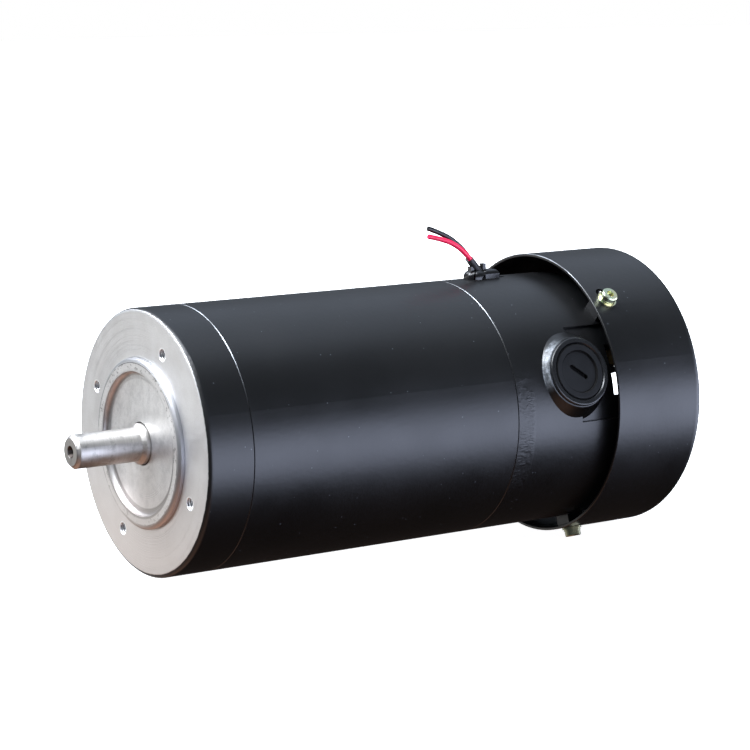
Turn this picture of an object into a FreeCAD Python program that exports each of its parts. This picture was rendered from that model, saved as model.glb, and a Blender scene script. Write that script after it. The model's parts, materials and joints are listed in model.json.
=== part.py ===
import FreeCAD, Part
import math
import os

# Brushed permanent-magnet DC motor with a face mount and a fan cowl.
#
# The motor is drawn standing straight: its axis is the Y axis, the shaft points to -Y,
# the mounting face is the plane y = 0, and the brush bosses are at +X and -X.
# Angles go from +X towards +Z. At the end every sub-part is rolled by LYING_ROLL about
# the axis, which is how the motor lies on a bench, resting on its cowl and lowest screw.
# Lengths are millimetres and angles are degrees.

V = FreeCAD.Vector
AXIS = V(0, 1, 0)
ORIGIN = V(0, 0, 0)

LYING_ROLL = 20.2

# Housing
FRAME_R = 55.0
TUBE_BORE_R = 49.0
FRONT_SEAM = 20.0
REAR_SEAM = 149.0
BELL_END = 210.0
SPIGOT_R = TUBE_BORE_R - 0.1
SPIGOT_LENGTH = 5.0
SEAM_CHAMFER = 0.25
PLATE_START = 200.0
PLATE_END = 206.0
BEARING_BOSS_R = 22.5
TIE_BOLT_ANGLES = (100.0, 280.0)
TIE_BOLT_CIRCLE_R = 45.5
TIE_BOLT_R = 2.5
TIE_BOLT_TIP = 12.0

# Mounting face, an IEC C85 face
PILOT_R = 35.0
PILOT_HEIGHT = 2.5
PILOT_INNER_R = 29.65
FACE_EDGE = 1.8
BOLT_CIRCLE_R = 42.5
FACE_HOLE_R = 2.5
FACE_HOLE_DEPTH = 14.0
BELL_EYE_R = 8.95

# Shaft
SHAFT_TIP = -32.3
SHAFT_R = 7.0
SHAFT_FRONT_SEAT_R = 8.5
SHAFT_CORE_R = 10.0
SHAFT_COMMUTATOR_R = 9.0
SHAFT_REAR_SEAT_R = 7.5
SHAFT_FAN_R = 6.0
SHAFT_END = 233.0

# Bearings: (bore radius, outer radius, width, ball radius, pitch radius, front face y)
FRONT_BEARING = (8.5, 20.0, 12.0, 3.37, 14.25, 6.2)
REAR_BEARING = (7.5, 17.5, 11.0, 2.98, 12.5, 197.0)
BALL_COUNT = 8
FIRST_BALL_ANGLE = 10.0
BALL_PLAY = 0.1
WAVE_WASHER_SPACE = 1.5

# Magnets and armature
MAGNET_BORE_R = 41.5
MAGNET_START = 40.0
MAGNET_END = 130.0
MAGNET_HALF_ANGLE = 68.0
CORE_R = 40.5
CORE_START = 45.0
CORE_END = 125.0
SLOT_COUNT = 24
COMMUTATOR_R = 22.0
COMMUTATOR_START = 168.0
COMMUTATOR_END = 194.0

# Fan on the rear end of the shaft
FAN_START = 213.0
FAN_END = 230.0
FAN_BLADES = 8
FAN_R = 48.0
FAN_PHASE = 18.5

# Brush gear, set radially in the rear bell
BRUSH_Y = 181.0
BRUSH_ANGLES = {"right": 0.0, "left": 180.0}
BOSS_TOP = 57.6
BOSS_TOP_R = 15.3
BOSS_WAIST = 55.2
BOSS_WAIST_R = 16.4
BOSS_FOOT = 46.0
BOSS_FOOT_R = 22.3
HOLDER_R = 13.1
HOLDER_FOOT = 26.5
HOLDER_FLANGE_R = 14.8
HOLDER_TOP = 59.2
CAP_R = 12.1
CAP_TOP = 59.0
CAP_FOOT = 51.0
CAP_RECESS_R = 9.3
COIN_SLOT = (10.0, 2.0, 1.8)
COIN_SLOT_TURN = -38.0
BRUSH_AXIAL = 12.2
BRUSH_TANGENTIAL = 8.2
BRUSH_LENGTH = 22.0
BRUSH_FOOT = COMMUTATOR_R + 0.2
GUIDE_FOOT = 24.8
GUIDE_WALL = 1.0
GUIDE_PLAY = 0.1
DISC_FOOT = 54.4
DISC_THICKNESS = 0.8
DISC_R = 7.6
RIVET_R = 1.5
RIVET_CIRCLE_R = 47.0
RIVET_TURN = 16.0
TAB_THICKNESS = 0.8
RIM_WINDOW_START = 201.4

# Cowl around the rear bell. Its axis lies COWL_RISE above the motor's axis, because its
# slots leave play around the screws
COWL_RISE = 1.5
COWL_R = 62.2
COWL_SHEET = 1.2
COWL_START = 197.5
COWL_END = 244.5
COWL_CORNER_R = 4.0
LUG_ANGLES = (27.5, 148.5, 268.5)
LUG_WIDTH = 8.4
SCREW_Y = 205.6
SCREW_R = 2.0
SCREW_HEAD_R = 3.5
SCREW_HEAD_TOP = COWL_R + 4.1
# Washers: inner radius, outer radius, foot and top above the motor's axis
PLAIN_WASHER = (2.15, 4.3, COWL_R + 0.02, COWL_R + 0.8)
SPRING_WASHER = (2.15, 3.7, COWL_R + 0.8, COWL_R + 1.7)
VENT_INNER_R = 22.0
VENT_OUTER_R = 50.0
VENT_COUNT = 12
VENT_HALF_ANGLE = 9.5
SHAFT_OPENING_R = 11.0

# Leads and strain relief
GLAND_ANGLE = 71.0
GLAND_Y = 166.5
GLAND_DOME_R = 5.0
GLAND_NECK_R = 4.3
GLAND_THROAT = 1.1
GLAND_SPLIT_TURN = -45.0
SLEEVE_LENGTH = 8.3
SLEEVE_WIDTH = 5.2
SLEEVE_DEPTH = 3.1
LEAD_DIAMETER = 2.2
# Routes of the free leads as the motor lies, from the strain relief to their cut ends
RED_ROUTE = [
    V(-0.4, 168.7, 58.0),
    V(-0.4, 162.5, 65.1),
    V(-0.4, 155.7, 70.6),
    V(-0.4, 148.0, 73.6),
    V(-0.4, 141.1, 75.1),
]
BLACK_ROUTE = [
    V(-2.6, 169.4, 57.2),
    V(-2.7, 164.1, 65.0),
    V(-2.7, 157.2, 71.6),
    V(-2.7, 149.6, 75.8),
    V(-2.7, 142.5, 78.3),
]


# ---------------------------------------------------------------- building blocks

def polar(radius, angle, y=0.0):
    turn = math.radians(angle)
    return V(radius * math.cos(turn), y, radius * math.sin(turn))


def on_circle(radius, angle):
    """The x and z of a place on a circle about the motor's axis."""
    point = polar(radius, angle)
    return point.x, point.z


def flat(point):
    return V(point[0], point[1], 0)


def outline(profile):
    """Closed wire through (radius, y) points; a pair of points is an arc: middle, end."""
    edges = []
    here = profile[0]
    for item in profile[1:] + profile[:1]:
        if isinstance(item[0], tuple):
            middle, there = item
            edges.append(Part.Arc(flat(here), flat(middle), flat(there)).toShape())
        else:
            there = item
            edges.append(Part.makeLine(flat(here), flat(there)))
        here = there
    return Part.Wire(edges)


def turned(profile):
    """Solid of revolution about the Y axis."""
    return Part.Face(outline(profile)).revolve(ORIGIN, AXIS, 360)


def tube(inner, outer, start, end):
    return turned([(inner, start), (outer, start), (outer, end), (inner, end)])


def rod(radius, start, end, x=0.0, z=0.0):
    return Part.makeCylinder(radius, end - start, V(x, start, z), AXIS)


def block(width, start, end, depth, x=0.0, z=0.0):
    """Box from start to end along Y, centred on x and z."""
    return Part.makeBox(width, end - start, depth, V(x - width / 2, start, z - depth / 2))


def sector(inner, outer, start, end, angle_from, angle_to):
    """Part of a tube between two angles."""
    middle = (angle_from + angle_to) / 2
    points = [polar(r, a, start) for r, a in (
        (inner, angle_from), (outer, angle_from), (outer, middle),
        (outer, angle_to), (inner, angle_to), (inner, middle))]
    edges = [
        Part.makeLine(points[0], points[1]),
        Part.Arc(points[1], points[2], points[3]).toShape(),
        Part.makeLine(points[3], points[4]),
        Part.Arc(points[4], points[5], points[0]).toShape(),
    ]
    return Part.Face(Part.Wire(edges)).extrude(V(0, end - start, 0))


def about_axis(shape, angle):
    """Copy turned about the motor's axis, from +X towards +Z."""
    copy = shape.copy()
    copy.rotate(ORIGIN, AXIS, -angle)
    return copy


def outward(shape, y, angle):
    """Set a shape drawn along +Y (its height above the axis) radially at y and angle.

    Its own +X then points along the motor's axis, and its +Z towards smaller angles.
    """
    copy = shape.copy()
    copy.rotate(ORIGIN, V(1, 1, 0), 180)
    copy.translate(V(0, y, 0))
    return about_axis(copy, angle)


def raised(shape):
    """Copy of a shape drawn about the motor's axis, moved up to the cowl's axis."""
    copy = shape.copy()
    copy.translate(polar(COWL_RISE, 90.0 - LYING_ROLL))
    return copy


def group(shape, angles):
    """Separate copies of one solid, spread about the axis."""
    return Part.makeCompound([about_axis(shape, angle) for angle in angles])


def even(count, first=0.0):
    return [first + 360.0 * i / count for i in range(count)]


def fuse(shapes):
    return shapes[0].multiFuse(shapes[1:]).removeSplitter()


def routed(points, diameter, label):
    """Round tube along straight runs joined by tangent arcs."""
    edges = []
    radii = []
    here = points[0]
    for before, corner, after in zip(points, points[1:], points[2:]):
        arrive = (corner - before).normalize()
        leave = (after - corner).normalize()
        half_turn = math.acos(max(-1.0, min(1.0, arrive.dot(leave)))) / 2
        setback = 0.45 * min((corner - before).Length, (after - corner).Length)
        radius = setback / math.tan(half_turn)
        radii.append(round(radius, 1))
        first = corner - arrive * setback
        last = corner + leave * setback
        inward = (leave - arrive).normalize()
        middle = corner + inward * (radius / math.cos(half_turn) - radius)
        edges.append(Part.LineSegment(here, first).toShape())
        edges.append(Part.Arc(first, middle, last).toShape())
        here = last
    edges.append(Part.LineSegment(here, points[-1]).toShape())
    path = Part.Wire(edges)
    start_way = (points[1] - points[0]).normalize()
    ring = Part.Wire([Part.Circle(points[0], start_way, diameter / 2).toShape()])
    solid = path.makePipeShell([ring], True, True)
    ideal = math.pi * diameter ** 2 / 4 * path.Length
    print(label, "radii", radii, "length", round(path.Length, 2),
          "volume ratio", round(solid.Volume / ideal, 4))
    return solid


def standing(shape):
    """Undo the lying roll, for shapes that are drawn as the motor lies."""
    return about_axis(shape, -LYING_ROLL)


def save(name, shape):
    rolled = about_axis(shape, LYING_ROLL)
    if not rolled.isValid():
        print("NOT VALID:", name)
    rolled.exportStep("parts/" + name + ".step")


# ---------------------------------------------------------------- housing

def front_end_bell():
    """Die-cast end bell: machined face with pilot ring, eye, bearing pocket and spigot."""
    bore, outer, width, _, _, start = FRONT_BEARING
    bend = FACE_EDGE * (1 - math.sqrt(0.5))
    body = turned([
        (BELL_EYE_R, -0.55),
        (27.6, -0.15),
        ((28.9, -0.6), (PILOT_INNER_R, -PILOT_HEIGHT)),
        (33.1, -PILOT_HEIGHT),
        ((34.35, -2.0), (PILOT_R, -1.3)),
        (PILOT_R, 0.0),
        (FRAME_R - FACE_EDGE, 0.0),
        ((FRAME_R - bend, bend), (FRAME_R, FACE_EDGE)),
        (FRAME_R, FRONT_SEAM - SEAM_CHAMFER),
        (FRAME_R - SEAM_CHAMFER, FRONT_SEAM),
        (SPIGOT_R, FRONT_SEAM),
        (SPIGOT_R, FRONT_SEAM + SPIGOT_LENGTH),
        (43.5, FRONT_SEAM + SPIGOT_LENGTH),
        (43.5, 12.0),
        (41.0, 9.5),
        (26.0, 9.5),
        (24.5, 11.0),
        (24.5, start + width),
        (outer, start + width),
        (outer, start),
        (15.5, start),
        (15.5, 5.0),
        (BELL_EYE_R, 5.0),
    ])
    pads = [rod(7.0, 9.0, FACE_HOLE_DEPTH + 2, *on_circle(BOLT_CIRCLE_R, a)) for a in even(4, 45.0)]
    posts = [rod(4.6, 9.0, FRONT_SEAM + SPIGOT_LENGTH, *on_circle(44.0, a)) for a in TIE_BOLT_ANGLES]
    limit = rod(SPIGOT_R, 0.0, FRONT_SEAM + SPIGOT_LENGTH)
    body = fuse([body] + [pad.common(limit) for pad in pads + posts])
    holes = [rod(FACE_HOLE_R, -1.0, FACE_HOLE_DEPTH, *on_circle(BOLT_CIRCLE_R, a)) for a in even(4, 45.0)]
    bolt_bore = TIE_BOLT_R + 0.05
    bolt_holes = [rod(bolt_bore, TIE_BOLT_TIP - 1, FRONT_SEAM + 6, *on_circle(TIE_BOLT_CIRCLE_R, a))
                  for a in TIE_BOLT_ANGLES]
    return body.cut(Part.makeCompound(holes + bolt_holes))


def stator_tube():
    """Steel flux tube between the two bells."""
    return turned([
        (TUBE_BORE_R, FRONT_SEAM),
        (FRAME_R - SEAM_CHAMFER, FRONT_SEAM),
        (FRAME_R, FRONT_SEAM + SEAM_CHAMFER),
        (FRAME_R, REAR_SEAM - SEAM_CHAMFER),
        (FRAME_R - SEAM_CHAMFER, REAR_SEAM),
        (TUBE_BORE_R, REAR_SEAM),
    ])


def rear_bell_shell():
    """Turned envelope of the rear bell, with its bearing boss and end plate."""
    _, outer, width, _, _, start = REAR_BEARING
    pocket_end = start + width + WAVE_WASHER_SPACE
    return turned([
        (44.5, REAR_SEAM - SPIGOT_LENGTH),
        (SPIGOT_R, REAR_SEAM - SPIGOT_LENGTH),
        (SPIGOT_R, REAR_SEAM),
        (FRAME_R - SEAM_CHAMFER, REAR_SEAM),
        (FRAME_R, REAR_SEAM + SEAM_CHAMFER),
        (FRAME_R, BELL_END - 1.0),
        (FRAME_R - 1.0, BELL_END),
        (51.0, BELL_END),
        (51.0, PLATE_END),
        (BEARING_BOSS_R, PLATE_END),
        (BEARING_BOSS_R, pocket_end + 2.0),
        (10.0, pocket_end + 2.0),
        (10.0, pocket_end),
        (outer, pocket_end),
        (outer, start - 0.5),
        (BEARING_BOSS_R, start - 0.5),
        (BEARING_BOSS_R, PLATE_START),
        (50.0, PLATE_START),
        (50.0, REAR_SEAM + 2.0),
        (44.5, REAR_SEAM),
    ])


def brush_boss():
    """Tapered boss around a brush holder, rounded at its rim."""
    return turned([
        (0.0, BOSS_FOOT),
        (BOSS_FOOT_R, BOSS_FOOT),
        (BOSS_WAIST_R, BOSS_WAIST),
        (BOSS_TOP_R + 0.25, BOSS_TOP - 0.8),
        ((BOSS_TOP_R, BOSS_TOP - 0.2), (BOSS_TOP_R - 0.6, BOSS_TOP)),
        (0.0, BOSS_TOP),
    ])


def rear_windows():
    """Two pairs of cuts beside a brush boss: through the plate, then through the rim."""
    cuts = []
    for start, end in ((-12.0, -1.2), (1.2, 12.0)):
        cuts.append(sector(27.0, 50.0, PLATE_START - 0.5, BELL_END + 2, start, end))
        cuts.append(sector(49.9, FRAME_R + 2, RIM_WINDOW_START, BELL_END + 2, start, end))
    return cuts


def rear_end_bell():
    """Die-cast rear bell: bearing boss, vented plate, brush bosses, cowl lugs, lead hole."""
    notch_start = 183.0
    notch_depth = 1.1
    notch_half_angle = 22.3
    body = rear_bell_shell()
    notch = sector(FRAME_R - notch_depth, FRAME_R + 1, notch_start, BELL_END + 1,
                   -notch_half_angle, notch_half_angle)
    body = body.cut(group(notch, BRUSH_ANGLES.values()))

    additions = [outward(brush_boss(), BRUSH_Y, a) for a in BRUSH_ANGLES.values()]
    lug = block(LUG_WIDTH, FRAME_R - 3.5, COWL_R, LUG_WIDTH)
    cowl_bore = rod(COWL_R - COWL_SHEET - 0.1, SCREW_Y - LUG_WIDTH, SCREW_Y + LUG_WIDTH)
    additions += [raised(outward(lug, SCREW_Y, a).common(cowl_bore)) for a in LUG_ANGLES]
    body = fuse([body] + additions)

    inside = turned([(0.0, REAR_SEAM - 6), (44.0, REAR_SEAM - 6), (44.0, PLATE_START - 0.5),
                     (0.0, PLATE_START - 0.5)])
    boss_waste = [outward(rod(BOSS_FOOT_R + 2, 30.0, 50.0), BRUSH_Y, a).common(inside)
                  for a in BRUSH_ANGLES.values()]
    cuts = [outward(rod(HOLDER_R + 0.1, 35.0, 62.0), BRUSH_Y, a) for a in BRUSH_ANGLES.values()]
    cuts += boss_waste
    cuts += [about_axis(window, a) for a in BRUSH_ANGLES.values() for window in rear_windows()]
    vent = sector(27.0, 46.0, PLATE_START - 1, PLATE_END + 1, -14.0, 14.0)
    cuts += [about_axis(vent, a) for a in even(4, 45.0)]
    cuts += [raised(outward(rod(SCREW_R + 0.05, FRAME_R - 3.0, COWL_R), SCREW_Y, a))
             for a in LUG_ANGLES]
    cuts += [rod(TIE_BOLT_R + 0.05, REAR_SEAM - 6, PLATE_END + 1, *on_circle(TIE_BOLT_CIRCLE_R, a))
             for a in TIE_BOLT_ANGLES]
    cuts += [rod(RIVET_R + 0.05, PLATE_END - 2, PLATE_END + 1, *on_circle(RIVET_CIRCLE_R, a + RIVET_TURN))
             for a in BRUSH_ANGLES.values()]
    cuts.append(outward(rod(GLAND_NECK_R + 0.1, 40.0, FRAME_R + 3), GLAND_Y, GLAND_ANGLE))
    snap_slot = block(3.6, FRAME_R - 2.5, FRAME_R + 1, 2.6, x=12.8, z=1.2)
    cuts.append(outward(snap_slot, GLAND_Y, GLAND_ANGLE))
    return body.cut(Part.makeCompound(cuts))


def tie_bolts():
    """Long hexagon-head bolts that clamp the tube between the bells."""
    head_start = PLATE_END + 1.1
    hexagon = Part.makePolygon([polar(4.6, a, head_start) for a in even(6) + [360.0]])
    head = Part.Face(hexagon).extrude(V(0, 3.4, 0))
    bolt = fuse([rod(TIE_BOLT_R, TIE_BOLT_TIP, head_start + 1), head])
    return Part.makeCompound([moved(bolt, TIE_BOLT_CIRCLE_R, a) for a in TIE_BOLT_ANGLES])


def moved(shape, radius, angle):
    copy = shape.copy()
    copy.translate(polar(radius, angle))
    return copy


def split_ring(inner, outer, start, end, gap):
    """Spring washer: a ring with a narrow gap."""
    return tube(inner, outer, start, end).cut(block(outer + 1, start - 1, end + 1, gap, x=outer / 2 + 0.5))


def tie_bolt_washers():
    washer = split_ring(2.65, 4.4, PLATE_END, PLATE_END + 1.1, 0.7)
    return Part.makeCompound([moved(washer, TIE_BOLT_CIRCLE_R, a) for a in TIE_BOLT_ANGLES])


# ---------------------------------------------------------------- magnets

def magnet():
    body = sector(MAGNET_BORE_R, TUBE_BORE_R - 0.1, MAGNET_START, MAGNET_END,
                  -MAGNET_HALF_ANGLE, MAGNET_HALF_ANGLE)
    return body


def magnet_clips():
    """Sprung steel strips that press the magnets apart in the gap without a bolt."""
    strips = []
    for side in (90.0, 270.0):
        for start in (50.0, 108.0):
            strips.append(sector(47.6, 48.6, start, start + 12.0, side + 17.0, side + 21.5))
            strips.append(sector(47.6, 48.6, start, start + 12.0, side - 21.5, side + 2.0))
    return Part.makeCompound(strips)


# ---------------------------------------------------------------- bearings

def raceway(bearing):
    """Ring of ball-shaped cross-section that both bearing rings are grooved with."""
    _, _, width, ball_r, pitch_r, start = bearing
    return Part.makeTorus(pitch_r, ball_r + BALL_PLAY, V(0, start + width / 2, 0), AXIS)


def bearing_outer_ring(bearing):
    _, outer, width, ball_r, pitch_r, start = bearing
    shoulder = pitch_r + 0.8 * ball_r
    return tube(shoulder, outer - 0.02, start, start + width).cut(raceway(bearing))


def bearing_inner_ring(bearing):
    bore, _, width, ball_r, pitch_r, start = bearing
    shoulder = pitch_r - 0.8 * ball_r
    return tube(bore, shoulder, start, start + width).cut(raceway(bearing))


def ball_centres(bearing):
    _, _, width, _, pitch_r, start = bearing
    return [polar(pitch_r, angle, start + width / 2) for angle in even(BALL_COUNT, FIRST_BALL_ANGLE)]


def bearing_balls(bearing):
    return Part.makeCompound([Part.makeSphere(bearing[3], centre) for centre in ball_centres(bearing)])


def bearing_cage(bearing):
    """Band around the balls with a round pocket for each one."""
    _, _, width, ball_r, pitch_r, start = bearing
    middle = start + width / 2
    half_width = ball_r + 0.9
    band = tube(pitch_r - 0.4 * ball_r, pitch_r + 0.4 * ball_r, middle - half_width, middle + half_width)
    pocket = outward(rod(ball_r + BALL_PLAY, pitch_r - ball_r, pitch_r + ball_r), middle, 0.0)
    return band.cut(group(pocket, even(BALL_COUNT, FIRST_BALL_ANGLE)))


def bearing_shields(bearing):
    """Thin steel shields pressed into the outer ring on both sides."""
    _, _, width, ball_r, pitch_r, start = bearing
    inner = pitch_r - 0.8 * ball_r + 0.3
    outer = pitch_r + 0.8 * ball_r - 0.02
    thickness = 0.4
    front = tube(inner, outer, start + 0.5, start + 0.5 + thickness)
    rear = tube(inner, outer, start + width - 0.5 - thickness, start + width - 0.5)
    return Part.makeCompound([front, rear])


def bearing_wave_washer():
    _, outer, width, _, _, start = REAR_BEARING
    return split_ring(13.5, outer - 0.3, start + width, start + width + WAVE_WASHER_SPACE, 2.0)


# ---------------------------------------------------------------- rotor

def motor_shaft():
    """Stepped shaft with a centre-drilled, chamfered output end."""
    body = turned([
        (0.0, SHAFT_TIP),
        (SHAFT_R - 1.4, SHAFT_TIP),
        (SHAFT_R, SHAFT_TIP + 1.4),
        (SHAFT_R, -3.6),
        (SHAFT_FRONT_SEAT_R, -2.1),
        (SHAFT_FRONT_SEAT_R, 18.2),
        (11.0, 18.2),
        (11.0, 26.0),
        (SHAFT_CORE_R, 26.0),
        (SHAFT_CORE_R, 150.0),
        (SHAFT_COMMUTATOR_R, 150.0),
        (SHAFT_COMMUTATOR_R, 196.8),
        (SHAFT_REAR_SEAT_R, 196.8),
        (SHAFT_REAR_SEAT_R, 208.4),
        (SHAFT_FAN_R, 208.4),
        (SHAFT_FAN_R, SHAFT_END - 0.8),
        (SHAFT_FAN_R - 0.8, SHAFT_END),
        (0.0, SHAFT_END),
    ])
    centre_drill = turned([
        (0.0, SHAFT_TIP - 0.1),
        (2.7, SHAFT_TIP - 0.1),
        (1.6, SHAFT_TIP + 1.8),
        (1.6, SHAFT_TIP + 6.0),
        (0.0, SHAFT_TIP + 7.0),
    ])
    groove = tube(SHAFT_FAN_R - 0.5, SHAFT_FAN_R + 1, FAN_END + 0.1, FAN_END + 1.1)
    return body.cut(Part.makeCompound([centre_drill, groove]))


def core_slot(inset=0.0):
    """Prism of one winding slot, wider outside than inside; inset makes the copper in it."""
    top = 38.6 - inset
    foot = 24.0 + inset
    half_top = 3.4 - inset
    half_foot = 1.5 - inset
    start = CORE_START - 1.0
    points = [V(foot, start, -half_foot), V(top, start, -half_top),
              V(top, start, half_top), V(foot, start, half_foot), V(foot, start, -half_foot)]
    return Part.Face(Part.makePolygon(points)).extrude(V(0, CORE_END - CORE_START + 2.0, 0))


def slot_mouth():
    return block(4.0, CORE_START - 1, CORE_END + 1, 2.4, x=CORE_R - 0.5)


def armature_core():
    """Stack of slotted laminations."""
    stack = tube(SHAFT_CORE_R, CORE_R, CORE_START, CORE_END)
    slots = group(core_slot(), even(SLOT_COUNT))
    mouths = group(slot_mouth(), even(SLOT_COUNT))
    return stack.cut(slots).cut(mouths)


def armature_windings():
    """Copper in the slots, joined by rounded end turns in front of and behind the core."""
    def end_turns(near, far):
        inner, outer = 15.0, 37.8
        middle = (inner + outer) / 2
        bulge = far + (far - near) * 0.25
        return turned([(inner, near), (outer, near), (outer, far),
                       ((middle, bulge), (inner, far))])
    front = end_turns(CORE_START - 0.4, CORE_START - 10.0)
    rear = end_turns(CORE_END + 0.4, CORE_END + 10.0)
    bars = [about_axis(core_slot(0.25), angle) for angle in even(SLOT_COUNT)]
    return fuse([front, rear] + bars)


def slot_wedges():
    wedge = block(1.4, CORE_START, CORE_END, 2.2, x=39.5)
    return group(wedge, even(SLOT_COUNT))


def commutator_segments():
    """Copper bars with risers, one for each slot."""
    half_angle = 180.0 / SLOT_COUNT - 1.0
    bar = sector(15.5, COMMUTATOR_R, COMMUTATOR_START, COMMUTATOR_END, -half_angle, half_angle)
    riser = sector(20.0, 25.0, COMMUTATOR_START, COMMUTATOR_START + 2.6, -half_angle, half_angle)
    return group(fuse([bar, riser]), even(SLOT_COUNT))


def commutator_hub():
    return tube(SHAFT_COMMUTATOR_R, 15.4, COMMUTATOR_START - 1.5, COMMUTATOR_END + 1.5)


def coil_leads():
    """Wires from the rear end turns to the risers."""
    start = polar(31.0, 0.0, CORE_END + 12.8)
    end = polar(22.6, 0.0, COMMUTATOR_START - 0.05)
    way = end - start
    wire = Part.makeCylinder(0.6, way.Length - 0.4, start, way)
    return group(wire, even(SLOT_COUNT))


def fan():
    """Paddle fan: a hub with straight blades that narrow a little towards their tips."""
    hub = turned([
        (SHAFT_FAN_R, FAN_START), (12.0, FAN_START), (13.0, FAN_START + 1.0),
        (13.0, FAN_END - 1.5), (11.5, FAN_END), (SHAFT_FAN_R, FAN_END)])
    tip_step = 2.5
    points = [V(12.0, FAN_START + 0.5, -1.0), V(FAN_R, FAN_START + tip_step, -1.0),
              V(FAN_R, FAN_END - tip_step, -1.0), V(12.0, FAN_END - 0.5, -1.0),
              V(12.0, FAN_START + 0.5, -1.0)]
    blade = Part.Face(Part.makePolygon(points)).extrude(V(0, 0, 2.0))
    return fuse([hub] + [about_axis(blade, a) for a in even(FAN_BLADES, FAN_PHASE)])


def fan_circlip():
    return split_ring(SHAFT_FAN_R - 0.45, 8.2, FAN_END + 0.1, FAN_END + 1.1, 4.0)


# ---------------------------------------------------------------- brush gear
# Each piece is drawn with its height above the motor's axis along +Y.

def brush_holder():
    """Moulded holder: flanged tube, threaded mouth for the cap and a pocket for the guide."""
    bore = CAP_R + 0.15
    body = turned([
        (0.0, HOLDER_FOOT),
        (HOLDER_R, HOLDER_FOOT),
        (HOLDER_R, BOSS_TOP),
        (HOLDER_FLANGE_R, BOSS_TOP),
        (HOLDER_FLANGE_R, HOLDER_TOP - 0.7),
        ((HOLDER_FLANGE_R - 0.2, HOLDER_TOP - 0.2), (HOLDER_FLANGE_R - 0.7, HOLDER_TOP)),
        (bore + 0.5, HOLDER_TOP),
        (bore, HOLDER_TOP - 0.7),
        (bore, CAP_FOOT - 1.0),
        (0.0, CAP_FOOT - 1.0),
    ])
    pocket = block(BRUSH_AXIAL + 2 * (GUIDE_PLAY + GUIDE_WALL) + 0.1, HOLDER_FOOT - 1, CAP_FOOT,
                   BRUSH_TANGENTIAL + 2 * (GUIDE_PLAY + GUIDE_WALL) + 0.1)
    return body.cut(pocket)


def brush_guide():
    """Rectangular brass tube that the brush slides in."""
    inner_x = BRUSH_AXIAL + 2 * GUIDE_PLAY
    inner_z = BRUSH_TANGENTIAL + 2 * GUIDE_PLAY
    shell = block(inner_x + 2 * GUIDE_WALL, GUIDE_FOOT, CAP_FOOT - 1.0, inner_z + 2 * GUIDE_WALL)
    return shell.cut(block(inner_x, GUIDE_FOOT - 1, CAP_FOOT, inner_z))


def carbon_brush():
    """Carbon block whose foot is worn to the commutator's curve."""
    body = block(BRUSH_AXIAL, BRUSH_FOOT - 1.5, BRUSH_FOOT + BRUSH_LENGTH, BRUSH_TANGENTIAL)
    worn = Part.makeCylinder(BRUSH_FOOT, 40.0, V(-20, 0, 0), V(1, 0, 0))
    return body.cut(worn)


def brush_spring():
    """Coil spring between the brush and the contact disc."""
    foot = BRUSH_FOOT + BRUSH_LENGTH + 0.4
    height = DISC_FOOT - 0.4 - foot
    coil = Part.makeHelix(height / 6.5, height, 3.4)
    ring = Part.Wire([Part.Circle(V(3.4, 0, 0), AXIS, 0.3).toShape()])
    solid = Part.Wire(coil.Edges).makePipeShell([ring], True, True)
    solid.rotate(ORIGIN, V(1, 0, 0), -90)
    solid.translate(V(0, foot, 0))
    return solid


def brush_shunt():
    """Flexible copper braid inside the spring."""
    return rod(0.9, BRUSH_FOOT + BRUSH_LENGTH, DISC_FOOT)


def contact_disc():
    """Brass disc under the cap, dished at its rim."""
    return turned([
        (0.0, DISC_FOOT), (DISC_R - 0.6, DISC_FOOT), (DISC_R - 0.6, DISC_FOOT - 0.8),
        (DISC_R, DISC_FOOT - 0.8), (DISC_R, DISC_FOOT + DISC_THICKNESS), (0.0, DISC_FOOT + DISC_THICKNESS)])


def brush_cap():
    """Screw cap with a recessed centre and a coin slot, hollow below for the contact disc."""
    hollow_r = DISC_R + 0.3
    ceiling = DISC_FOOT + DISC_THICKNESS + 0.1
    length, width, depth = COIN_SLOT
    floor = CAP_TOP - 1.0
    body = turned([
        (0.0, ceiling), (hollow_r, ceiling), (hollow_r, CAP_FOOT), (CAP_R - 0.4, CAP_FOOT),
        (CAP_R, CAP_FOOT + 0.4), (CAP_R, CAP_TOP - 0.6),
        ((CAP_R - 0.18, CAP_TOP - 0.18), (CAP_R - 0.6, CAP_TOP)),
        (CAP_RECESS_R, CAP_TOP), (CAP_RECESS_R - 0.2, floor), (0.0, floor)])
    straight = block(length - width, floor - depth, floor + 1, width)
    ends = [rod(width / 2, floor - depth, floor + 1, x=side * (length - width) / 2) for side in (-1, 1)]
    slot = fuse([straight] + ends)
    slot.rotate(ORIGIN, AXIS, COIN_SLOT_TURN)
    return body.cut(slot)


def brush_terminal():
    """Brass tab on the rear plate beside a brush boss, with a lip turned into the rim window."""
    outer = 52.7
    back = PLATE_END + TAB_THICKNESS
    plate = fuse([
        sector(38.0, 50.3, PLATE_END, back, 2.0, 19.0),
        sector(50.2, outer, PLATE_END, back, 2.5, 9.5),
        sector(outer - TAB_THICKNESS, outer, 202.2, back, 2.5, 9.5),
    ])
    return plate.cut(rod(RIVET_R + 0.05, PLATE_END - 1, PLATE_END + 2, *on_circle(RIVET_CIRCLE_R, RIVET_TURN)))


def terminal_rivets():
    head_foot = PLATE_END + TAB_THICKNESS + 0.02
    rivet = turned([(0.0, PLATE_END - 1.5), (RIVET_R, PLATE_END - 1.5), (RIVET_R, head_foot),
                    (2.7, head_foot), (2.0, head_foot + 0.9), (0.0, head_foot + 1.0)])
    return Part.makeCompound([moved(rivet, RIVET_CIRCLE_R, RIVET_TURN + a) for a in BRUSH_ANGLES.values()])


# ---------------------------------------------------------------- cowl

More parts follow.
